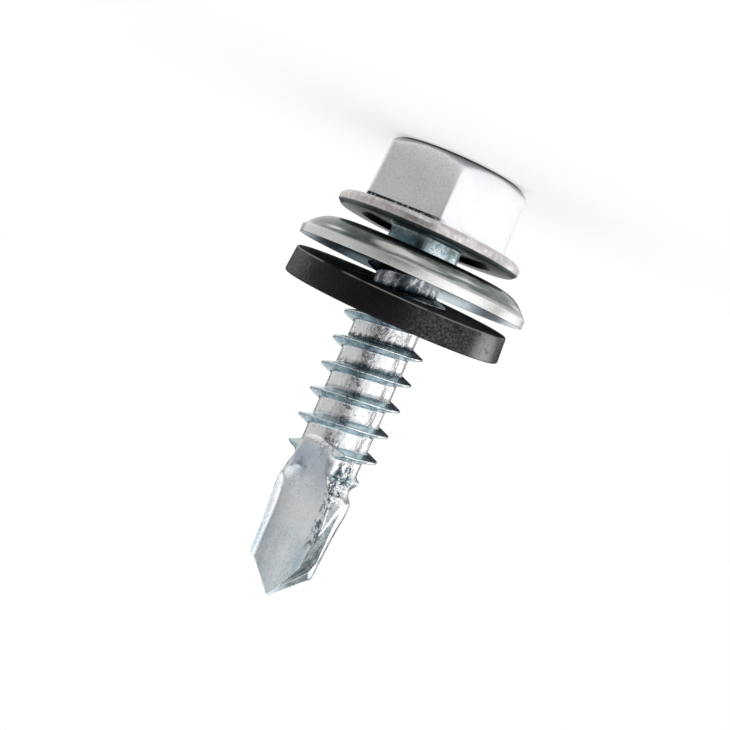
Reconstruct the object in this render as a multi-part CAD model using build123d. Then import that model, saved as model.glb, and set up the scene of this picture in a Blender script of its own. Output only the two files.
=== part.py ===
from build123d import *
import math
import os

os.makedirs("parts", exist_ok=True)

# A self-drilling screw of size 6.3 x 25 with its two loose washers, in millimetres.
# Z = 0 is the flat top of the hexagon head, and +Z runs towards the drill tip.
# A bearing is an angle about the axis in degrees, from -Y (0) towards -X (90).

# Hexagon drive
hex_across_flats = 9.9       # beside the flange
hex_height = 4.6
hex_draft = 2.5              # degrees that each flat leans in towards the top
hex_corner_bearing = 2.4
hex_chamfer_angle = 30
hex_top_diameter = 8.6       # flat circle that the chamfer leaves on top
hex_edge_radius = 0.3        # of the six upright edges

# Flange
flange_diameter = 13.0
flange_face_diameter = 12.4  # flat bearing face
flange_thickness = 1.03      # beside the hexagon
flange_rim_thickness = 0.95
flange_land = 0.4            # upright band at its widest
recess_diameter = 9.4        # shallow ring sunk into the bearing face around the neck
recess_depth = 0.35
recess_wall = 0.2            # width of its sloping wall

# Shank
neck_diameter = 5.0
neck_length = 1.5
neck_flare = 0.25            # small cone in the corner at the bottom of the recess
neck_taper_length = 0.5
root_diameter = 4.4
length_under_head = 25.75

# Thread
thread_diameter = 6.15
thread_pitch = 1.86
thread_root_width = 0.74
thread_crest_width = 0.12
thread_run_in = 1.6          # height over which it grows to full depth
thread_run_out = 1.5
thread_crest_height = 12.05  # height of one crest on the +X side, which sets the phase

# Drill point
drill_length = 8.25          # from the foot of its shoulder to the tip
drill_shoulder = 0.45
drill_diameter = 5.1
drill_tip_diameter = 4.6     # at the cutting corners
point_angle = 91
tip_flat = 0.16

# Flutes
flute_bearing = -37
flute_length = 8.9
flute_floor_radius = 8
flute_wall = 2.06            # from the middle of the flute to its side wall
flute_corner_radius = 0.35
flute_runout_length = 2.2    # over which the floor climbs out of the drill
flute_runout_height = 1.78   # distance of the floor from the axis where the flute begins
flute_runout_bend = 0.7      # and halfway along the run-out
web_thickness = 0.72         # between the floors of the two flutes
tip_web_thickness = 0.2
web_taper_length = 3.3
thread_flat_length = 1.8     # flat that runs on from each flute through the last turn of thread
thread_flat_height = 1.8     # from the axis

# Relief behind each cutting lip
margin_bearing = 115         # that the step up to the margin turns its back on
margin_distance = 1.42       # the strip outside it keeps the full diameter
flank_bearing = 14.6
flank_angle = 34.9           # between the flank and the axis
relief_start_bearing = 60    # the hollow twists from here
relief_middle_bearing = 55
relief_end_bearing = 46.5
relief_middle_distance = 2.36  # from the axis
relief_middle_height = 5.5     # from the tip
relief_bend_distance = 1.98
relief_bend_height = 2.73
relief_end_distance = 0.34
relief_end_height = 0.5
relief_edge_height = 3.3       # from the tip, where the hollow's outer edge leaves the margin

# Dished washer
washer_diameter = 16.1
washer_hole_clearance = 0.7  # across the neck
washer_thickness = 0.5
washer_gap = 0.82            # free play between the flange and the washer
washer_dome_rise = 0.2       # fall of the dome from its hole to the bend
washer_skirt_width = 1.2
washer_bend_radius = 2.3
washer_skirt_angle = 45
washer_tilt = 1.25
washer_shift = 0.1           # sideways play that it has taken up

# Sealing ring
ring_diameter = 15.44        # at its wide end
ring_splay = 4.5             # degrees that its wall leans out towards the tip
ring_hole_clearance = 0.75   # across the thread
ring_thickness = 1.85
ring_gap = 0.05              # between the washer's rim and the nearest edge of the tilted ring
ring_tilt = 6.5
ring_shift = 0.1

# Heights along the axis
head_height = hex_height + flange_thickness
recess_floor = head_height - recess_depth
tip_height = head_height + length_under_head
point_height = (drill_tip_diameter - tip_flat) / 2 / math.tan(math.radians(point_angle / 2))
corner_height = tip_height - point_height
drill_start = tip_height - drill_length
neck_end = head_height + neck_length
thread_start = neck_end
thread_end = drill_start
reach = flange_diameter      # clear of the screw on every side

# Sizes that the pieces share
washer_bend = washer_diameter / 2 - washer_skirt_width
washer_bend_height = head_height + washer_gap + washer_dome_rise
washer_skirt = math.radians(washer_skirt_angle)
washer_rim_height = washer_bend_height + washer_skirt_width * math.tan(washer_skirt)
washer_rim_foot = washer_rim_height + washer_thickness / math.cos(washer_skirt)
washer_lean = math.radians(washer_tilt)
washer_raised_foot = washer_rim_foot - washer_diameter / 2 * math.sin(washer_lean)
ring_lean = math.radians(ring_tilt)
ring_narrow = ring_diameter / 2 - ring_thickness * math.tan(math.radians(ring_splay))
ring_droop = ring_narrow * math.sin(ring_lean) + ring_thickness / 2 * math.cos(ring_lean)
ring_height = washer_raised_foot + ring_gap + ring_droop


def direction(bearing):
    """Unit vector across the axis at a bearing."""
    turn = math.radians(-90 - bearing)
    return Vector(math.cos(turn), math.sin(turn), 0)


def facing(bearing, offset):
    """Lengthwise plane whose x is the distance from the axis at a bearing, and whose y is the height."""
    outward = direction(bearing)
    sideways = outward.cross(Vector(0, 0, 1))
    return Plane(origin=sideways * offset, x_dir=outward, z_dir=sideways)


def across(bearing, height):
    """Plane across the axis at a height, whose y runs outward at a bearing."""
    return Plane(origin=(0, 0, height), x_dir=direction(bearing + 90), z_dir=(0, 0, 1))


def turned(points):
    """Solid of revolution about the axis from (radius, height) points."""
    return revolve(Plane.XZ * make_face(Polyline(*points, close=True)), Axis.Z)


def hexagon(across_flats, height):
    turn = -90 - hex_corner_bearing
    return Pos(0, 0, height) * Rot(0, 0, turn) * RegularPolygon(across_flats / 2, 6, major_radius=False)


def hex_drive():
    lean = 2 * hex_height * math.tan(math.radians(hex_draft))
    sides = loft([hexagon(hex_across_flats - lean, 0), hexagon(hex_across_flats, hex_height)], ruled=True)
    sides = fillet(sides.edges().group_by(Axis.Z)[1], hex_edge_radius)
    top = hex_top_diameter / 2
    outside = hex_across_flats
    drop = (outside - top) * math.tan(math.radians(hex_chamfer_angle))
    foot = hex_height + drop
    chamfered = turned([(0, 0), (top, 0), (outside, drop), (outside, foot), (0, foot)])
    return sides & chamfered


def flange():
    rim = flange_diameter / 2
    face = flange_face_diameter / 2
    rim_top = head_height - flange_rim_thickness
    land_top = (rim_top + head_height - flange_land) / 2
    recess = recess_diameter / 2
    return turned([
        (0, hex_height), (hex_across_flats / 2, hex_height), (face, rim_top), (rim, land_top),
        (rim, land_top + flange_land), (face, head_height), (recess, head_height),
        (recess - recess_wall, recess_floor), (0, recess_floor)])


def shank():
    neck = neck_diameter / 2
    root = root_diameter / 2
    corner = drill_tip_diameter / 2
    return turned([
        (0, hex_height), (neck + neck_flare, hex_height), (neck + neck_flare, recess_floor),
        (neck, recess_floor + neck_flare), (neck, neck_end), (root, neck_end + neck_taper_length),
        (root, drill_start), (drill_diameter / 2, drill_start + drill_shoulder),
        (corner, corner_height), (tip_flat / 2, tip_height), (0, tip_height)])


def thread():
    root = root_diameter / 2
    crest = thread_diameter / 2
    turns_down = math.ceil((thread_crest_height - thread_start) / thread_pitch) + 1
    first = thread_crest_height - turns_down * thread_pitch
    length = thread_end - first + thread_pitch
    path = Helix(thread_pitch, length, root)
    sunk = 0.2
    foot = thread_root_width / 2
    lip = thread_crest_width / 2
    slope = (foot - lip) / (crest - root)
    wide = foot + slope * sunk
    section = Plane.XZ * make_face(Polyline(
        (root - sunk, -wide), (crest, -lip), (crest, lip), (root - sunk, wide), close=True))
    ridge = Pos(0, 0, first) * sweep(section, path=path, is_frenet=True)
    inside = root - sunk / 2
    outside = crest + sunk
    envelope = turned([
        (0, thread_start), (inside, thread_start), (outside, thread_start + thread_run_in),
        (outside, thread_end - thread_run_out), (inside, thread_end), (0, thread_end)])
    return ridge & envelope


def flute_section(floor, height):
    """Cross-section of a flute at a height, with the middle of its hollow floor that far from the axis."""
    far = reach / 2

    def rise(sideways):
        return floor + flute_floor_radius - math.sqrt(flute_floor_radius ** 2 - sideways ** 2)

    hollow = ThreePointArc((-flute_wall, rise(-flute_wall)), (0, floor), (far, rise(far)))
    outside = Polyline((far, rise(far)), (far, reach), (-flute_wall, reach), (-flute_wall, rise(-flute_wall)))
    face = make_face([hollow, outside])
    foot = face.vertices().sort_by_distance((-flute_wall, rise(-flute_wall)))[0]
    return across(flute_bearing, height) * fillet(foot, flute_corner_radius)


def flute():
    """Cutter for one flute, and for the flat that runs on from it through the thread."""
    web = web_thickness / 2
    tip_web = tip_web_thickness / 2
    start = tip_height - flute_length
    settled = start + flute_runout_length
    past = 0.5
    fall = (web - tip_web) / web_taper_length
    floors = [
        (flute_runout_height, start), (flute_runout_bend, (start + settled) / 2), (web, settled),
        (web, tip_height - web_taper_length), (tip_web - fall * past, tip_height + past)]
    groove = loft([flute_section(floor, height) for floor, height in floors], ruled=True)
    flat_top = start - thread_flat_length
    lead = thread_diameter / 2 - thread_flat_height
    flat = Polyline(
        (reach, start), (thread_flat_height, start), (thread_flat_height, flat_top),
        (thread_flat_height + lead, flat_top - lead), (reach, flat_top - lead), close=True)
    return groove + extrude(facing(flute_bearing, -reach / 2) * make_face(flat), reach)


def flank():
    """Cutter for the flat behind one cutting lip at the tip."""
    top = tip_height - reach / math.tan(math.radians(flank_angle))
    outline = Polyline((0, tip_height), (reach, top), (reach, tip_height), close=True)
    return extrude(facing(flank_bearing, -reach / 2) * make_face(outline), reach)


def relief():
    """Cutter for the twisted hollow behind one cutting lip, which stops at the margin and narrows to the tip."""
    start = drill_start + drill_shoulder
    levels = [
        (relief_start_bearing, drill_diameter / 2, start),
        (relief_middle_bearing, relief_middle_distance, tip_height - relief_middle_height),
        (relief_end_bearing, relief_bend_distance, tip_height - relief_bend_height),
        (relief_end_bearing, relief_end_distance, tip_height - relief_end_height)]
    beyond = Rectangle(2 * reach, reach, align=(Align.CENTER, Align.MIN))
    sections = [across(bearing, height) * Pos(0, distance) * beyond for bearing, distance, height in levels]
    hollow = loft(sections, ruled=True)
    edge = Polyline(
        (-reach, start), (margin_distance, start), (margin_distance, tip_height - relief_edge_height),
        (0, tip_height - relief_end_height), (-reach, tip_height - relief_end_height), close=True)
    return hollow & extrude(facing(margin_bearing, -reach / 2) * make_face(edge), reach)


def screw():
    body = hex_drive() + flange() + shank() + thread()
    for half_turn in (0, 180):
        for cutter in (flute(), flank(), relief()):
            body -= Rot(0, 0, half_turn) * cutter
    return body


def dished_washer():
    hole = (neck_diameter + washer_hole_clearance) / 2
    rim = washer_diameter / 2
    top = head_height + washer_gap
    dome = math.atan2(washer_dome_rise, washer_bend - hole)
    miter = washer_thickness / math.cos((washer_skirt - dome) / 2)
    middle = (washer_skirt + dome) / 2
    outer_bend = (washer_bend, washer_bend_height)
    inner_bend = (washer_bend - miter * math.sin(middle), washer_bend_height + miter * math.cos(middle))
    section = make_face(Polyline(
        (hole, top), outer_bend, (rim, washer_rim_height), (rim, washer_rim_foot),
        inner_bend, (hole, top + washer_thickness / math.cos(dome)), close=True))
    section = fillet(section.vertices().sort_by_distance(outer_bend)[0], washer_bend_radius)
    inner_corner = section.vertices().sort_by_distance(inner_bend)[0]
    section = fillet(inner_corner, washer_bend_radius - washer_thickness)
    washer = Pos(0, 0, -washer_rim_foot) * revolve(Plane.XZ * section, Axis.Z)
    return Pos(-washer_shift, 0, washer_rim_foot) * Rot(-washer_tilt, 0, 0) * washer


def sealing_ring():
    inner = (thread_diameter + ring_hole_clearance) / 2
    outer = ring_diameter / 2
    half = ring_thickness / 2
    section = make_face(Polyline((inner, -half), (ring_narrow, -half), (outer, half), (inner, half), close=True))
    return Pos(ring_shift, 0, ring_height) * Rot(-ring_tilt, 0, 0) * revolve(Plane.XZ * section, Axis.Z)


pieces = {"screw": screw(), "dished_washer": dished_washer(), "sealing_ring": sealing_ring()}
for name, piece in pieces.items():
    export_step(piece, f"parts/{name}.step")
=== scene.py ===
import math

import bpy
import numpy as np
from mathutils import Matrix, Vector, noise


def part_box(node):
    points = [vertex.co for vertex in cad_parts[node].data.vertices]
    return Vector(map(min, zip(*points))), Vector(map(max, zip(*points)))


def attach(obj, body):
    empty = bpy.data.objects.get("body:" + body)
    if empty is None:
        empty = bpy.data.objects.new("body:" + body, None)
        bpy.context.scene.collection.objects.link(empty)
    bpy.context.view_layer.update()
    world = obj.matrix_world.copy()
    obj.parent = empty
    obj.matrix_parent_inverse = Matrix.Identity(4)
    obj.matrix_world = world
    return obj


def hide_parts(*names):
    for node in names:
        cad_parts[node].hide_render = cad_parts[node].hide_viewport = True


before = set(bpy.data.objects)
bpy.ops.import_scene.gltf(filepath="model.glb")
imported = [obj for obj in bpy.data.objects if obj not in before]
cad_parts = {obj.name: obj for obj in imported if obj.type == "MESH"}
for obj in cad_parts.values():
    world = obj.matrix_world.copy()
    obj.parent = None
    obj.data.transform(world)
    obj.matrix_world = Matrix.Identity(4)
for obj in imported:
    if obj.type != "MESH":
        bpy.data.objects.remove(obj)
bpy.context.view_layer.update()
scene = bpy.context.scene
mm = 0.001
weld = 0.001 * mm  # points closer than this become one
print("frame loaded")


def activate(piece):
    bpy.ops.object.select_all(action="DESELECT")
    piece.select_set(True)
    bpy.context.view_layer.objects.active = piece


def editAll(piece):
    activate(piece)
    bpy.ops.object.mode_set(mode="EDIT")
    bpy.ops.mesh.select_all(action="SELECT")


def leaveEdit():
    bpy.ops.object.mode_set(mode="OBJECT")


def applyModifier(piece, kind, **settings):
    activate(piece)
    modifier = piece.modifiers.new(kind, kind)
    for name, value in settings.items():
        setattr(modifier, name, value)
    bpy.ops.object.modifier_apply(modifier=modifier.name)


def facing(bearing):  # from -Y (0) towards -X (90)
    turn = math.radians(bearing)
    return Vector((-math.sin(turn), -math.cos(turn), 0))


# lengths are in millimetres
cameraPlace = {
    "distance": 140,
    "viewWidth": 48.47,  # at the screw's axis, from edge to edge
    "height": 17.6,
    "aim": 14.79,  # height on the axis that it looks at
    "aside": 0.33,
    "roll": 24.2,
    "sensor": 36,
    "clip": (10, 20000),
}


def addCamera():
    data = bpy.data.cameras.new("camera")
    data.sensor_width = cameraPlace["sensor"]
    data.lens = data.sensor_width * cameraPlace["distance"] / cameraPlace["viewWidth"]
    data.clip_start, data.clip_end = (reach * mm for reach in cameraPlace["clip"])
    camera = bpy.data.objects.new("camera", data)
    scene.collection.objects.link(camera)
    roll = math.radians(cameraPlace["roll"])
    up = Vector((math.sin(roll), 0, -math.cos(roll)))
    place = Vector((cameraPlace["aside"], -cameraPlace["distance"], cameraPlace["height"]))
    back = (place - Vector((cameraPlace["aside"], 0, cameraPlace["aim"]))).normalized()
    right = up.cross(back).normalized()
    up = back.cross(right)
    turn = Matrix((right, up, back)).transposed().to_4x4()
    camera.matrix_world = Matrix.Translation(place * mm) @ turn
    scene.camera = camera


addCamera()
print("camera placed")


class Wire:  # a socket that takes part in arithmetic
    def __init__(self, finish, socket):
        self.finish = finish
        self.socket = socket

    def __add__(self, other):
        return self.finish.maths("ADD", self, other)

    def __radd__(self, other):
        return self.finish.maths("ADD", other, self)

    def __sub__(self, other):
        return self.finish.maths("SUBTRACT", self, other)

    def __rsub__(self, other):
        return self.finish.maths("SUBTRACT", other, self)

    def __mul__(self, other):
        return self.finish.maths("MULTIPLY", self, other)

    def __rmul__(self, other):
        return self.finish.maths("MULTIPLY", other, self)

    def __truediv__(self, other):
        return self.finish.maths("DIVIDE", self, other)

    def __pow__(self, other):
        return self.finish.maths("POWER", self, other)

    def __abs__(self):
        return self.finish.maths("ABSOLUTE", self)

    def rise(self, low, high):  # 0 below low, 1 above high, smooth in between
        places = {"Value": self, "From Min": low, "From Max": high}
        return self.finish.node("MapRange", {"interpolation_type": "SMOOTHSTEP"}, places)

    def band(self, low, high, soft):  # 1 between low and high
        return self.rise(low - soft, low + soft) * (1 - self.rise(high - soft, high + soft))


class Finish:  # one material
    def __init__(self, name):
        self.material = bpy.data.materials.new(name)
        self.material.use_nodes = True
        self.tree = self.material.node_tree
        self.tree.nodes.clear()
        self.place = self.node("TexCoord", output="Object")
        # where a point is, in millimetres, and which way its face looks
        self.x, self.y, self.z = self.axes(self.scaled(1, 1, 1))
        self.radius = (self.x * self.x + self.y * self.y) ** 0.5
        self.sideX, self.sideY, self.up = self.axes(self.node("TexCoord", output="Normal"))

    def node(self, kind, settings=None, inputs=None, output=0):
        made = self.tree.nodes.new("ShaderNode" + kind)
        for name, value in (settings or {}).items():
            setattr(made, name, value)
        for name, value in (inputs or {}).items():
            if isinstance(value, Wire):
                self.tree.links.new(value.socket, made.inputs[name])
            else:
                made.inputs[name].default_value = value
        return Wire(self, made.outputs[output])

    def maths(self, operation, *values):
        return self.node("Math", {"operation": operation}, dict(enumerate(values)))

    def axes(self, vector):
        return [self.node("SeparateXYZ", inputs={0: vector}, output=axis) for axis in range(3)]

    def scaled(self, x, y, z):  # object coordinates in millimetres, stretched
        stretch = (x / mm, y / mm, z / mm)
        return self.node("VectorMath", {"operation": "MULTIPLY"}, {0: self.place, 1: stretch})

    def noise(self, perMm, detail=2, roughness=0.5, at=None):
        at = at or self.scaled(1, 1, 1)
        settings = {"Vector": at, "Scale": perMm, "Detail": detail, "Roughness": roughness}
        return self.node("TexNoise", None, settings)

    def around(self, inward, turning):  # noise place that runs in rings about the axis
        parts = {
            0: self.radius * inward,
            1: self.x / self.radius * turning,
            2: self.y / self.radius * turning}
        return self.node("CombineXYZ", None, parts)

    def looks(self, bearing):  # 1 where a face looks that way, -1 where it looks the other way
        out = facing(bearing)
        return self.sideX * out.x + self.sideY * out.y

    def reach(self, bearing):  # how far from the axis a point lies that way
        out = facing(bearing)
        return self.x * out.x + self.y * out.y

    def mix(self, share, first, second):
        first, second = ((*c, 1) if isinstance(c, tuple) else c for c in (first, second))
        return self.node("Mix", {"data_type": "RGBA"}, {0: share, 6: first, 7: second}, 2)

    def bump(self, height, depth, under=None):
        inputs = {"Strength": 1, "Distance": depth * mm, "Height": height}
        if under:
            inputs["Normal"] = under
        return self.node("Bump", None, inputs)

    def surface(self, **sockets):
        names = {
            "color": "Base Color", "roughness": "Roughness", "metallic": "Metallic", "normal": "Normal",
            "gloss": "Specular IOR Level"}
        shader = self.node("BsdfPrincipled", None, {names[key]: value for key, value in sockets.items()})
        out = self.tree.nodes.new("ShaderNodeOutputMaterial")
        self.tree.links.new(shader.socket, out.inputs["Surface"])
        return self.material


studio = {
    "white": 1.0,
    "floorColor": 0.995,
    "floorSize": 8000,
    "floorGap": 0.01,
    "cardRadius": 65,
    "stepsRound": 360,  # of a whole ring that a card is cut from
    "shadow": 0.45,  # how much of it the floor shows
    # cards that stand round the screw for its reflections: bearing from, bearing to, bottom, top, shade
    "cards": (
        (-165, -142, 0, 90, 0.12),
        (-130, -82, 0, 90, 0.62),
        (-82, -62, 0, 90, 0.66),
        (-62, -40, 0, 90, 0.48),
        (-40, -25, 0, 90, 0.30),
        (-25, 2, 0, 12.5, 0.02),
        (-25, 2, 12.5, 90, 0.55),
        (2, 9, 0, 12.5, 0.35),
        (84, 97, 0, 90, 0.06),
        (142, 165, 0, 90, 0.10)),
    # and sheets that lie on the floor: bearing from, bearing to, nearest, farthest, shade
    "sheets": (
        (-80, -24, 7.5, 22, 0.44),
        (14, 90, 7.5, 64, 1.0),
        (168, 192, 6, 20, 0.05),
        (-104, -40, 22, 64, 0.5),
        (-40, -25, 22, 64, 0.28),
        (-25, 2, 16, 64, 0.02),
        (90, 97, 20, 64, 0.08),
        (150, 179, 20, 400, 0.02)),
    # bearing, height, distance, width, tall, power
    "lamps": ((55, 100, 420, 300, 300, 0.16), (116, 60, 300, 22, 160, 0.06)),
}


def plainMaterial(name, shade, kind="BsdfDiffuse"):
    material = bpy.data.materials.new(name)
    material.use_nodes = True
    nodes = material.node_tree.nodes
    nodes.clear()
    shader = nodes.new("ShaderNode" + kind)
    shader.inputs["Color"].default_value = (shade, shade, shade, 1)
    out = nodes.new("ShaderNodeOutputMaterial")
    material.node_tree.links.new(shader.outputs[0], out.inputs["Surface"])
    return material


def addFloor():
    bpy.ops.object.select_all(action="DESELECT")
    below = (0, 0, -studio["floorGap"] * mm)
    bpy.ops.mesh.primitive_plane_add(size=studio["floorSize"] * mm, location=below)
    floor = bpy.context.object
    floor.name = "floor"
    material = plainMaterial("floor", studio["floorColor"])
    floor.data.materials.append(material)
    # the camera sees a paler shadow on it
    tree = material.node_tree
    path = tree.nodes.new("ShaderNodeLightPath")
    share = tree.nodes.new("ShaderNodeMath")
    share.operation = "MULTIPLY"
    share.inputs[1].default_value = 1 - studio["shadow"]
    glow = tree.nodes.new("ShaderNodeEmission")
    mixed = tree.nodes.new("ShaderNodeMixShader")
    out = tree.nodes["Material Output"]
    tree.links.new(path.outputs["Is Camera Ray"], share.inputs[0])
    tree.links.new(share.outputs[0], mixed.inputs[0])
    tree.links.new(out.inputs["Surface"].links[0].from_socket, mixed.inputs[1])
    tree.links.new(glow.outputs[0], mixed.inputs[2])
    tree.links.new(mixed.outputs[0], out.inputs["Surface"])


def addCard(name, start, end, inner, outer, low, high, shade):  # a strip of a cone about the axis
    bpy.ops.object.select_all(action="DESELECT")
    bpy.ops.mesh.primitive_cylinder_add(
        vertices=studio["stepsRound"], radius=mm, depth=mm, end_fill_type="NOTHING")
    card = bpy.context.object
    card.name = name
    for vertex in card.data.vertices:
        radius, height = (inner, low) if vertex.co.z < 0 else (outer, high)
        around = vertex.co.to_2d().normalized() * radius
        vertex.co = Vector((around.x, around.y, height)) * mm
    middle = facing((start + end) / 2).to_2d()
    reach = math.cos(math.radians((end - start) / 2))
    editAll(card)
    bpy.ops.mesh.select_all(action="DESELECT")
    leaveEdit()
    for face in card.data.polygons:
        face.select = Vector(face.center).to_2d().normalized().dot(middle) < reach
    bpy.ops.object.mode_set(mode="EDIT")
    bpy.ops.mesh.delete(type="FACE")
    leaveEdit()
    card.data.materials.append(plainMaterial(name, shade, "Emission"))
    card.visible_camera = False
    card.visible_diffuse = False
    card.visible_shadow = False


def addLamp(number, bearing, height, distance, width, tall, power):
    data = bpy.data.lights.new(f"lamp{number}", "AREA")
    data.shape = "RECTANGLE"
    data.size = width * mm
    data.size_y = tall * mm
    data.energy = power
    lamp = bpy.data.objects.new(f"lamp{number}", data)
    scene.collection.objects.link(lamp)
    lamp.location = (facing(bearing) * distance + Vector((0, 0, height))) * mm
    target = Vector((0, 0, cameraPlace["height"])) * mm
    lamp.rotation_mode = "QUATERNION"
    lamp.rotation_quaternion = (lamp.location - target).to_track_quat("Z", "Y")


def addStudio():
    world = bpy.data.worlds.new("studio")
    world.use_nodes = True
    background = world.node_tree.nodes["Background"]
    background.inputs["Color"].default_value = (1, 1, 1, 1)
    background.inputs["Strength"].default_value = studio["white"]
    scene.world = world
    addFloor()
    radius, ground = studio["cardRadius"], -studio["floorGap"] / 2
    for number, (start, end, low, high, shade) in enumerate(studio["cards"]):
        addCard(f"card{number}", start, end, radius, radius, low, high, shade)
    for number, (start, end, near, far, shade) in enumerate(studio["sheets"]):
        addCard(f"sheet{number}", start, end, near, far, ground, ground, shade)
    for number, lamp in enumerate(studio["lamps"]):
        addLamp(number, *lamp)
    scene.view_settings.view_transform = "Standard"


addStudio()
print("studio lit")


zinc = {
    # heights from the top of the head: from, to, and how soft the ends are
    "footPlace": (4.38, 4.61, 0.03),
    "rimPlace": (4.66, 5.6, 0.03),
    "underFlangePlace": (5.22, 5.7, 0.02),
    "neckPlace": (5.35, 7.3, 0.1),
    "flankPlace": (7.2, 23.2, 0.2),
    "threadPlace": (7.4, 21.2, 0.3),
    "underWashersPlace": (7.5, 10.6, 0.3),
    "patchPlace": (11, 21, 0.5),
    "tornPlace": (21.3, 23.7, 0.3),
    "wallCornerPlace": (21.6, 23.4, 0.25),
    "chipPlace": (23.3, 27.2, 0.5),
    # other sizes
    "shankStart": (5.7, 6.0),
    "threadPitch": 1.86,
    "threadPhase": 0.27,  # of a turn
    "groundStart": (23.2, 23.6),
    "groundBearing": 50,
    "drillRadius": (2.49, 2.54),  # what is ground away behind the lips lies inside it
    "drillTaper": 0.046,
    # colours
    "flat": (0.93, 0.94, 0.965),
    "flatBright": (1.0, 1.0, 1.0),
    "flatGrain": (0.50, 0.51, 0.53),
    "chamfer": (0.66, 0.67, 0.69),
    "topEdgeShade": (0.10, 0.11, 0.12),
    "footDark": (0.03, 0.035, 0.045),
    "rimDark": (0.60, 0.57, 0.56),
    "rimPale": (0.86, 0.83, 0.81),
    "shank": (0.86, 0.87, 0.88),
    "tipSideReflectionDark": (0.14, 0.27, 0.33),
    "tipSideReflectionPale": (0.56, 0.73, 0.78),
    "headSideReflection": (0.70, 0.83, 0.86),
    "neckDark": (0.42, 0.60, 0.67),
    "neckPale": (0.90, 0.99, 1.0),
    "neckShade": (0.05, 0.10, 0.125),
    "washerShade": (0.06, 0.075, 0.10),
    "underFlange": (0.11, 0.14, 0.15),
    "recess": (0.014, 0.02, 0.025),
    "recessWall": (0.010, 0.014, 0.018),
    "drillStreak": (0.68, 0.68, 0.73),
    "drillTip": (0.52, 0.65, 0.73),
    "fluteWallShade": (0.36, 0.45, 0.55),
    "salt": (0.93, 0.98, 1.0),
    "groundDark": (0.20, 0.24, 0.25),
    "groundPale": (0.36, 0.40, 0.41),
    "pits": (0.36, 0.38, 0.42),
    "specks": (0.08, 0.10, 0.13),
    "threadShade": (0.03, 0.05, 0.065),
    "rootDarkReflections": (0.09, 0.105, 0.14),
    "torn": (0.04, 0.07, 0.095),
    "chips": (0.07, 0.10, 0.13),
}


def headColor(f, clouds):
    w = zinc
    color = f.mix(clouds.rise(0.38, 0.66), w["flat"], w["flatBright"])
    # darker grain on the +X side of the head only
    sideGrain = f.noise(9, 4, 0.85).rise(0.42, 0.64) * 0.45 * f.x.rise(-0.6, 0.2)
    color = f.mix(sideGrain, color, w["flatGrain"])
    # the chamfer on top is duller, and its top edge has a painted dark line of shade
    color = f.mix((1 - f.z.rise(0.5, 0.8)) * (0 - f.up).rise(0.3, 0.6), color, w["chamfer"])
    color = f.mix((1 - f.z.rise(0.10, 0.24)) * f.radius.rise(3.6, 3.9), color, w["topEdgeShade"])
    # darker marks in the corner at the foot of the flats, heavier towards +X
    foot = f.z.band(*w["footPlace"]) * (1 - f.radius.rise(5.7, 5.8))
    footMarks = f.noise(5, 3, 0.7).rise(0.30, 0.46) * (f.x + (clouds - 0.5) * 8).rise(-2.4, 0.4)
    return f.mix(foot * footMarks, color, w["footDark"])


def shankColor(f, color, shank, mottle, streaks):
    w = zinc
    rim = f.z.band(*w["rimPlace"]) * f.radius.rise(5.6, 5.9)
    color = f.mix(rim, color, f.mix(mottle.rise(0.4, 0.7), w["rimDark"], w["rimPale"]))
    color = f.mix(shank * streaks.rise(0.3, 0.6), color, w["shank"])
    # the two sides of each turn of the thread, with painted reflections: teal on the side facing the tip,
    # pale on the side facing the head
    flanks = f.z.band(*w["flankPlace"]) * f.radius.rise(2.2, 2.3)
    tipSideReflection = f.mix(mottle.rise(0.34, 0.70), w["tipSideReflectionDark"], w["tipSideReflectionPale"])
    color = f.mix(flanks * (f.up + (mottle - 0.5) * 0.5).rise(0.2, 0.6), color, tipSideReflection)
    color = f.mix(flanks * ((mottle - 0.5) * 0.6 - f.up).rise(0.2, 0.6), color, w["headSideReflection"])
    neck = f.z.band(*w["neckPlace"]) * (1 - f.radius.rise(2.75, 2.85))
    color = f.mix(neck, color, f.mix(mottle.rise(0.42, 0.6), w["neckDark"], w["neckPale"]))
    # painted shade on the +X side of the neck, deepening towards the washer
    neckShadeMask = (f.x + (mottle - 0.5) * 3).rise(-0.4, 0.6) * f.z.rise(5.3, 6.1)
    color = f.mix(neck * neckShadeMask * 0.9, color, w["neckShade"])
    # painted shade on the part that the washers shade, left out in a painted highlight stripe near x = 1.25
    # and lighter towards -X
    shaded = f.z.band(*w["underWashersPlace"]) * (streaks * 0.6 + mottle * 0.4).rise(0.34, 0.52)
    shaded = shaded * (1 - (f.x - 1.25).band(-0.28, 0.28, 0.2) * 0.85)
    shaded = shaded * (1 - (0 - f.x).rise(0.7, 1.4) * 0.5)
    color = f.mix(shaded * 0.85, color, w["washerShade"])
    # the shaded face and recess under the flange
    face = f.z.band(*w["underFlangePlace"]) * f.radius.rise(2.7, 2.8)
    color = f.mix(face * f.up.rise(0.4, 0.8), color, w["underFlange"])
    color = f.mix(face * f.up.rise(0.4, 0.8) * (1 - f.radius.rise(4.9, 6.1)), color, w["recess"])
    return f.mix(face * (1 - f.radius.rise(4.72, 4.78)), color, w["recessWall"])


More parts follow.
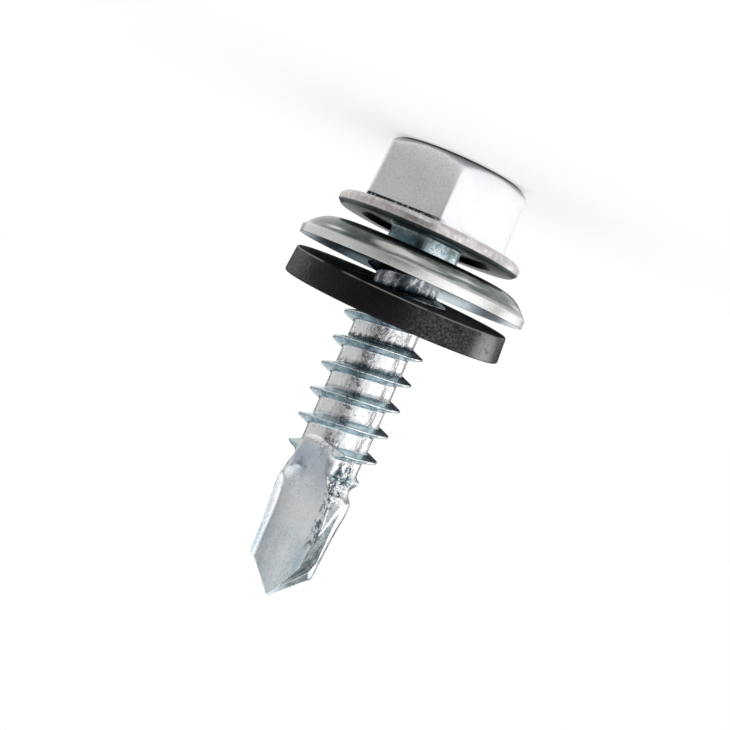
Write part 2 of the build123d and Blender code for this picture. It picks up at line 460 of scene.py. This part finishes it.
def drillColor(f, color, across, clouds):  # paler along some streaks and bluer towards the tip
    w = zinc
    drawn = f.noise(1, 2, 0.5, f.scaled(1.1, 1.1, 0.12))
    color = f.mix(f.z.rise(21, 23) * drawn.rise(0.42, 0.6) * 0.6, color, w["drillStreak"])
    color = f.mix(f.z.rise(24.5, 29) * 0.9 * clouds.rise(0.3, 0.55), color, w["drillTip"])
    # painted shade inside the flutes' walls and in the corners where they end
    inside = abs(f.looks(screwWork["fluteBearing"])).rise(0.7, 0.85) * (1 - f.radius.rise(2.05, 2.18))
    inside = inside * f.z.rise(20.6, 21.2) * (1 - f.z.rise(22.5, 25.5))
    corner = (0 - across).band(1.1, 2.5, 0.2) * f.z.band(*w["wallCornerPlace"])
    color = f.mix((inside * 0.6 + corner * 0.2) * (0.6 + clouds * 0.8), color, w["fluteWallShade"])
    salt = f.z.rise(22, 23.5) * (f.noise(7, 4, 0.8) * 0.5 + drawn * 0.5).rise(0.44, 0.58)
    return f.mix(salt * 0.75, color, w["salt"])


def groundMask(f):  # the hollow and flank that are ground behind each lip
    w = zinc
    start, full = w["groundStart"]
    outward = (f.x * f.sideX + f.y * f.sideY).rise(0.2, 0.8)
    relieved = 1 - (f.radius + (f.z - full) * w["drillTaper"]).rise(*w["drillRadius"])
    looking = abs(f.looks(w["groundBearing"])).rise(0.45, 0.65)
    return looking * outward * relieved * f.z.rise(start, full)


def wornColor(f, color, across, shank, mottle, grain, streaks):
    w = zinc
    color = f.mix((grain - 0.5).rise(0.05, 0.3) * 0.35, color, w["pits"])
    specks = shank * (1 - f.z.rise(22.5, 23.5)) * (mottle * grain).rise(0.32, 0.40)
    color = f.mix(specks * 0.7, color, w["specks"])
    # painted shade along the head side of each turn, heaviest near the head, and painted dark reflections
    # in patches on the root
    turning = f.maths("ARCTAN2", 0 - f.x, 0 - f.y) / math.tau
    phase = f.maths("FRACT", f.z / w["threadPitch"] + turning + w["threadPhase"])
    wavy = phase + (mottle - 0.5) * 0.12
    turnShade = wavy.band(0.17, 0.34, 0.05) * f.z.band(*w["threadPlace"])
    thick = 1 - f.z.rise(11.5, 19.5) * 0.8
    color = f.mix(turnShade * thick * streaks.rise(0.28, 0.52), color, w["threadShade"])
    # painted dark reflections in patches on the root where it faces along Y
    reflectionPatches = (1 - abs(f.x - 0.35).rise(0.3, 0.75)) * f.noise(2.6, 3, 0.8).rise(0.51, 0.59)
    reflectionPatches = reflectionPatches * f.z.band(*w["patchPlace"])
    color = f.mix(reflectionPatches * 0.7, color, w["rootDarkReflections"])
    # torn metal and chips beside each flute
    torn = across.band(0.72, 1.75, 0.15) * f.z.band(*w["tornPlace"]) * abs(f.y).rise(0.7, 1.0)
    chips = across.band(0.85, 1.50, 0.10) * f.z.band(*w["chipPlace"]) * abs(f.y).rise(0.8, 1.0)
    gouges = f.noise(2.2, 4, 0.7, f.scaled(1.2, 1.2, 0.9))
    color = f.mix(torn * gouges.rise(0.445, 0.565) * 0.95, color, w["torn"])
    return f.mix(chips * gouges.rise(0.445, 0.58) * 0.9, color, w["chips"])


def zincFinish():
    f = Finish("brightZinc")
    clouds = f.noise(0.5, 3)
    mottle = f.noise(2.4, 4, 0.6)
    grain = f.noise(12, 3, 0.7)
    streaks = f.noise(1, 2, 0.6, f.scaled(2.4, 2.4, 1.0))
    shank = f.z.rise(*zinc["shankStart"])
    across = f.x * f.y.rise(-0.2, 0.2) - f.x * (1 - f.y.rise(-0.2, 0.2))  # sideways, alike at both flutes
    ground = groundMask(f)
    color = headColor(f, clouds)
    color = shankColor(f, color, shank, mottle, streaks)
    color = drillColor(f, color, across, clouds)
    color = f.mix(ground, color, f.mix(mottle.rise(0.4, 0.6), zinc["groundDark"], zinc["groundPale"]))
    color = wornColor(f, color, across, shank, mottle, grain, streaks)
    rough = 0.16 + mottle * 0.12 + grain * 0.08 + (1 - shank) * 0.12 + ground * 0.15
    root = f.z.band(*zinc["threadPlace"]) * (1 - f.radius.rise(2.24, 2.34))
    lumps = f.bump(streaks * root, 0.07)
    fine = f.bump(grain, 0.007, lumps)
    return f.surface(color=color, metallic=1.0, roughness=rough, normal=fine)


galvanised = {
    "middleRadius": (3.6, 5.4),  # the shaded part near the neck fades out over this
    "cutRadius": (7.85, 7.98),
    "dark": (0.10, 0.125, 0.118),
    "pale": (0.21, 0.23, 0.21),
    "highlightRings": (0.72, 0.73, 0.69),
    "middle": (0.08, 0.15, 0.175),
    "hollowLitSide": (0.62, 0.70, 0.74),
    "hollowShadedSide": (0.10, 0.14, 0.16),
    "cutEdge": (0.84, 0.84, 0.82),
    "cutSpecks": (0.30, 0.29, 0.32),
    "grain": (0.32, 0.36, 0.36),
}


def galvanisedFinish():
    w = galvanised
    f = Finish("galvanised")
    mottle = f.noise(1.1, 4, 0.6)
    grain = f.noise(9, 3, 0.7)
    # pale rings round the axis, painted highlights on the dome
    highlightRings = f.noise(1, 2, 0.5, f.around(1.6, 1.3))
    color = f.mix(mottle.rise(0.35, 0.7), w["dark"], w["pale"])
    color = f.mix(highlightRings.rise(0.54, 0.68), color, w["highlightRings"])
    color = f.mix((1 - f.radius.rise(*w["middleRadius"])) * 0.85, color, w["middle"])
    # the underside, with painted light towards -X and painted shade towards +X
    hollow = f.mix(f.x.rise(-1.5, 3.5), w["hollowLitSide"], w["hollowShadedSide"])
    color = f.mix(f.up.rise(0.2, 0.5), color, hollow)
    cut = f.radius.rise(*w["cutRadius"]) * (1 - abs(f.up).rise(0.5, 0.8))
    color = f.mix(cut, color, w["cutEdge"])
    color = f.mix(cut * grain.rise(0.58, 0.68) * 0.6, color, w["cutSpecks"])
    color = f.mix((grain - 0.5).rise(0.02, 0.3) * 0.3, color, w["grain"])
    rough = 0.16 + mottle * 0.14 + cut * 0.15
    fine = f.bump(grain, 0.003, f.bump(f.noise(0.8, 2), 0.02))
    return f.surface(color=color, metallic=1.0, roughness=rough, normal=fine)


rubber = {
    "stripeBearing": 57,
    "stripeReach": (7.34, 7.74),  # how far out its stripe starts and is full
    "dark": (0.002, 0.002, 0.003),
    "pale": (0.007, 0.006, 0.006),
    "dustAndSheen": (0.115, 0.105, 0.10),
    "stripeHighlight": (0.50, 0.485, 0.47),
    "edge": (0.24, 0.23, 0.22),
}


def rubberFinish():
    w = rubber
    f = Finish("blackRubber")
    mottle = f.noise(0.9, 4, 0.65)
    grain = f.noise(6, 4, 0.75)
    # pale specks of dust, heaviest away from x = 2.3, where they also stand in as painted sheen
    dustAndSheenSides = abs(f.x - 2.3).rise(2.2, 5.2) * f.noise(0.5, 2).rise(0.35, 0.6)
    color = f.mix(mottle.rise(0.42, 0.75), w["dark"], w["pale"])
    dustAndSheen = (grain * 0.6 + f.noise(14, 3, 0.8) * 0.4).rise(0.42, 0.66)
    color = f.mix(dustAndSheen * (0.04 + dustAndSheenSides * 0.96), color, w["dustAndSheen"])
    # a painted highlight stripe up the wall
    stripe = f.reach(w["stripeBearing"]).rise(*w["stripeReach"])
    stripeHighlight = stripe * f.noise(1.5, 2).rise(0.25, 0.45)
    color = f.mix(stripeHighlight * 0.95, color, w["stripeHighlight"])
    # a painted highlight along the rounded edges that face the head
    edge = (0 - f.up).band(0.3, 0.8, 0.15) * f.noise(0.35, 1).rise(0.44, 0.54)
    color = f.mix(edge * 0.8, color, w["edge"])
    rough = 0.20 + dustAndSheenSides * 0.12 + abs(f.up) * 0.35
    fine = f.bump(grain, 0.03, f.bump(mottle, 0.03))
    return f.surface(color=color, metallic=0.0, roughness=rough, gloss=0.18, normal=fine)


def copyNode(node, name):
    piece = bpy.data.objects.new(name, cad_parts[node].data.copy())
    scene.collection.objects.link(piece)
    piece.data.materials.clear()
    editAll(piece)
    bpy.ops.mesh.remove_doubles(threshold=weld)
    bpy.ops.mesh.dissolve_limited(angle_limit=math.radians(screwWork["flatness"]))
    leaveEdit()
    return piece


def points(piece):  # vertex places in millimetres
    flat = np.zeros(len(piece.data.vertices) * 3)
    piece.data.vertices.foreach_get("co", flat)
    return flat.reshape(-1, 3) / mm


def ramp(values, low, high):
    share = np.clip((values - low) / (high - low), 0, 1)
    return share * share * (3 - 2 * share)


def window(values, start, full, fade, end):  # rises from start to full and falls from fade to end
    return ramp(values, start, full) * (1 - ramp(values, fade, end))


def soften(piece, weights, times):  # smooths where the weights are high
    group = piece.vertex_groups.new(name="soft")
    steps = 10
    for step in range(1, steps + 1):
        picked = np.flatnonzero(np.round(weights * steps) == step)
        if len(picked):
            group.add(picked.tolist(), step / steps, "REPLACE")
    applyModifier(piece, "SMOOTH", factor=0.5, iterations=times, vertex_group="soft")
    piece.vertex_groups.clear()


latheWork = {"turnSteps": 180, "edgeSteps": 4, "bendSteps": 14}


def lathe(name, corners, middle, lean):
    # corners are (radius, height, rounding) in millimetres, and the piece leans about X at its middle
    outline = []
    for number, (radius, height, rounding) in enumerate(corners):
        here = Vector((radius, height))
        before = (Vector(corners[number - 1][:2]) - here).normalized()
        after = (Vector(corners[(number + 1) % len(corners)][:2]) - here).normalized()
        halfSpread = before.angle(after) / 2
        leg = rounding / math.tan(halfSpread)
        centre = here + (before + after).normalized() * rounding / math.sin(halfSpread)
        first = (here + before * leg - centre).normalized()
        last = (here + after * leg - centre).normalized()
        steps = latheWork["edgeSteps"] if rounding < 1 else latheWork["bendSteps"]
        for step in range(steps + 1):
            outline.append(centre + first.slerp(last, step / steps) * rounding)
    bpy.ops.object.select_all(action="DESELECT")
    bpy.ops.mesh.primitive_circle_add(vertices=len(outline), radius=mm)
    piece = bpy.context.object
    piece.name = name
    for vertex, point in zip(piece.data.vertices, outline):
        vertex.co = Vector((point.x, 0, point.y)) * mm
    editAll(piece)
    bpy.ops.mesh.spin(steps=latheWork["turnSteps"], angle=math.tau, center=(0, 0, 0), axis=(0, 0, 1))
    bpy.ops.mesh.select_all(action="SELECT")
    bpy.ops.mesh.remove_doubles(threshold=weld)
    bpy.ops.mesh.normals_make_consistent(inside=False)
    leaveEdit()
    piece.data.transform(Matrix.Translation(Vector(middle) * mm) @ Matrix.Rotation(lean, 4, "X"))
    return piece


def dress(piece, material, body, node):
    piece.data.materials.append(material)
    activate(piece)
    bpy.ops.object.shade_smooth()
    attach(piece, body)
    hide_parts(node)
    print(piece.name, len(piece.data.polygons))


screwWork = {
    # where there are four values, it rises over the first two and falls over the last two
    "flatness": 0.3,  # degrees under which two faces become one
    "grid": 0.055,
    "rounding": 3,
    "faces": 190000,
    "rootRadius": 2.2,
    # heights over which the hexagon's edges stop being rounder than the rest
    "headSoft": (4.15, 4.45),
    "headSoftness": 45,
    # the last turn of the thread dies away
    "lastPlace": (20.5, 23.1),
    "lastTurn": (20.73, 23.13),
    "lastRadius": 2.1,
    "lastDepth": 1.15,
    "lastRagged": 0.18,
    "lastRagsPerMm": 1.7,
    # the start of the drill stands out on one side
    "swellBearing": -92,
    "swellWidth": 34,
    "swell": 0.32,
    "swellPlace": (21.9, 22.0, 23.5, 23.6),
    "swellGrows": (21.9, 22.9),
    "swellInside": 1.9,  # nothing nearer to the axis moves
    # height and distance from the axis of each flute's floor, as built and as it should climb out
    "fluteBearing": -37,
    "floorBuilt": ((20.6, 1.8), (22.48, 1.79), (23.58, 0.7), (24.68, 0.36), (26.6, 0.36)),
    "floorGentle": (
        (20.6, 1.8), (21.4, 1.72), (22.5, 1.3), (23.6, 0.88), (24.7, 0.55), (25.6, 0.41), (26.6, 0.36)),
    "floorPlace": (20.7, 21.2, 26.2, 26.6),
    "floorReach": 2.9,  # nothing moves from here outwards
    "floorSkin": (0.35, 0.1),  # this far under the built floor nothing moves, and this far all does
    "floorCurve": 8,
    "floorCurves": (22.4, 23.4),
    "floorSoftness": 60,
    "floorSoft": (20.9, 21.2, 25.6, 26.2),
    "floorHalfDepth": (1.9, 2.05),
    "floorHalfWidth": (1.5, 1.75),
    # the corners where the flutes' walls end
    "cornerSide": (1.0, 1.4),
    "cornerTurn": (0.1, 0.5),
    "cornerSoft": (21.2, 21.7, 23.9, 24.4),
    "cornerSoftness": 160,
    # torn metal beside each flute, and chips along its edge
    "burrDepth": 0.11,
    "burrsPerMm": 2.1,
    "burrNear": (0.5, 0.9),
    "tornAcross": (0.55, 0.95, 1.9, 2.2),
    "tornPlace": (20.9, 21.5, 23.5, 24.2),
    "chipAcross": (0.75, 1.0, 1.35, 1.6),
    "chipPlace": (23.4, 24.0, 26.4, 27.4),
    "chipShare": 0.4,
}


def shift(piece, places):  # moves its vertices to these places
    piece.data.vertices.foreach_set("co", (places * mm).ravel())
    piece.data.update()


def fluteWays(places):  # the way one flute faces, and how far each point lies along it and beside it
    out = facing(screwWork["fluteBearing"])
    depth = places[:, 0] * out.x + places[:, 1] * out.y
    side = places[:, 0] * out.y - places[:, 1] * out.x
    return out, depth, side


def reshapeFlutes(places):  # lets each flute climb out gently
    w = screwWork
    built = np.array(w["floorBuilt"])
    gentle = np.array(w["floorGentle"])
    still, moving = w["floorSkin"]
    height = places[:, 2]
    for way in (1, -1):
        out, along, side = fluteWays(places)
        depth = way * along
        curve = w["floorCurve"] - np.sqrt(np.maximum(w["floorCurve"] ** 2 - side ** 2, 0))
        lowered = np.interp(height, built[:, 0], built[:, 1])
        floor = lowered + curve * ramp(height, *w["floorCurves"])
        rise = np.interp(height, gentle[:, 0], gentle[:, 1]) - lowered
        share = 1 - np.clip((depth - floor) / (w["floorReach"] - floor), 0, 1)
        share *= ramp(depth, floor - still, floor - moving)
        share *= window(height, *w["floorPlace"])
        places[:, 0] += way * out.x * rise * share
        places[:, 1] += way * out.y * rise * share


def wearLastTurn(places):
    w = screwWork
    height = places[:, 2]
    radius = np.hypot(places[:, 0], places[:, 1])
    start, end = w["lastTurn"]
    most = w["lastRadius"] + (end - height) / (end - start) * w["lastDepth"]
    picked = (height > w["lastPlace"][0]) & (height < w["lastPlace"][1])
    ragged = np.array([noise.noise(Vector(place) * w["lastRagsPerMm"]) for place in places[picked]])
    limit = np.full(len(places), np.inf)
    limit[picked] = np.maximum(most[picked] + ragged * w["lastRagged"], w["rootRadius"])
    worn = radius > limit
    places[worn, :2] *= (limit[worn] / radius[worn])[:, None]


def swellShoulder(places):
    w = screwWork
    height = places[:, 2]
    radius = np.hypot(places[:, 0], places[:, 1])
    bearing = np.degrees(np.arctan2(-places[:, 0], -places[:, 1]))
    off = np.abs((bearing - w["swellBearing"] + 180) % 360 - 180)
    share = 1 - ramp(off, w["swellWidth"] * 0.4, w["swellWidth"])
    share *= window(height, *w["swellPlace"]) * (radius > w["swellInside"])
    target = w["rootRadius"] + w["swell"] * ramp(height, *w["swellGrows"])
    grow = 1 + share * np.maximum(target / np.maximum(radius, 0.01) - 1, 0)
    places[:, :2] *= grow[:, None]


def raiseBurrs(piece, places):
    w = screwWork
    flat = np.zeros(len(places) * 3)
    piece.data.vertices.foreach_get("normal", flat)
    normals = flat.reshape(-1, 3)
    height = places[:, 2]
    for way in (1, -1):
        across, near = -way * places[:, 0], -way * places[:, 1]
        beside = ramp(near, *w["burrNear"])
        torn = window(across, *w["tornAcross"]) * beside * window(height, *w["tornPlace"])
        chips = window(across, *w["chipAcross"]) * beside * window(height, *w["chipPlace"]) * w["chipShare"]
        weights = np.maximum(torn, chips)
        for index in np.flatnonzero(weights > 0.02):
            here = Vector(places[index]) * w["burrsPerMm"]
            push = noise.fractal(here, 0.8, 2.0, 3) * w["burrDepth"] * weights[index]
            places[index] += normals[index] * push


def addScrew():
    w = screwWork
    piece = copyNode("screw", "screwBody")
    applyModifier(piece, "REMESH", mode="VOXEL", voxel_size=w["grid"] * mm)
    applyModifier(piece, "SMOOTH", factor=0.5, iterations=w["rounding"])
    places = points(piece)
    wearLastTurn(places)
    swellShoulder(places)
    reshapeFlutes(places)
    raiseBurrs(piece, places)
    shift(piece, places)
    height = places[:, 2]
    soften(piece, 1 - ramp(height, *w["headSoft"]), w["headSoftness"])
    depth, side = fluteWays(places)[1:]
    corner = ramp(np.abs(side), *w["cornerSide"]) * ramp(-side * depth, *w["cornerTurn"])
    soften(piece, corner * window(height, *w["cornerSoft"]), w["cornerSoftness"])
    inside = 1 - ramp(np.abs(depth), *w["floorHalfDepth"])
    inside *= 1 - ramp(np.abs(side), *w["floorHalfWidth"])
    soften(piece, inside * window(height, *w["floorSoft"]), w["floorSoftness"])
    faces = 2 * len(piece.data.polygons)
    applyModifier(piece, "DECIMATE", ratio=w["faces"] / faces)
    dress(piece, zincFinish(), "screw", "screw")


washerWork = {
    "rim": 8.05,
    "skirtWidth": 1.2,
    "skirtAngle": 45,
    "domeRise": 0.2,
    "thickness": 0.5,
    "holeRadius": 2.85,
    "bendRadius": 2.3,
    "edgeRounding": 0.07,
    "tilt": 1.25,
}


def addWasher():
    w = washerWork
    low, high = (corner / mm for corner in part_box("dished_washer"))
    bend = w["rim"] - w["skirtWidth"]
    skirt = math.radians(w["skirtAngle"])
    dome = math.atan2(w["domeRise"], bend - w["holeRadius"])
    miter = w["thickness"] / math.cos((skirt - dome) / 2)
    halfway = (skirt + dome) / 2
    # heights are from the foot of the rim, where the washer's tilt turns it
    rimHeight = -w["thickness"] / math.cos(skirt)
    bendHeight = rimHeight - w["skirtWidth"] * math.tan(skirt)
    innerBend = bend - miter * math.sin(halfway)
    innerHeight = bendHeight + miter * math.cos(halfway)
    top = bendHeight - w["domeRise"]
    edge = w["edgeRounding"]
    corners = [
        (w["holeRadius"], top, edge),
        (bend, bendHeight, w["bendRadius"]),
        (w["rim"], rimHeight, edge),
        (w["rim"], 0, edge),
        (innerBend, innerHeight, w["bendRadius"] - w["thickness"]),
        (w["holeRadius"], top + w["thickness"] / math.cos(dome), edge)]
    lean = math.radians(w["tilt"])
    place = ((low.x + high.x) / 2, 0, high.z - w["rim"] * math.sin(lean))
    piece = lathe("steelWasher", corners, place, -lean)
    dress(piece, galvanisedFinish(), "washer", "dished_washer")


ringWork = {
    "diameter": 15.44,
    "splay": 4.5,
    "holeRadius": 3.45,
    "thickness": 1.85,
    "edgeRounding": 0.16,
    "tilt": 6.5,
}


def addRing():
    w = ringWork
    low, high = (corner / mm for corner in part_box("sealing_ring"))
    half = w["thickness"] / 2
    wide = w["diameter"] / 2
    narrow = wide - w["thickness"] * math.tan(math.radians(w["splay"]))
    edge = w["edgeRounding"]
    corners = [
        (w["holeRadius"], -half, edge),
        (narrow, -half, edge),
        (wide, half, edge),
        (w["holeRadius"], half, edge)]
    lean = math.radians(w["tilt"])
    droop = narrow * math.sin(lean) + half * math.cos(lean)  # from its lowest point to its middle
    middle = ((low.x + high.x) / 2, 0, low.z + droop)
    piece = lathe("rubberRing", corners, middle, -lean)
    dress(piece, rubberFinish(), "seal", "sealing_ring")


addScrew()
addWasher()
addRing()
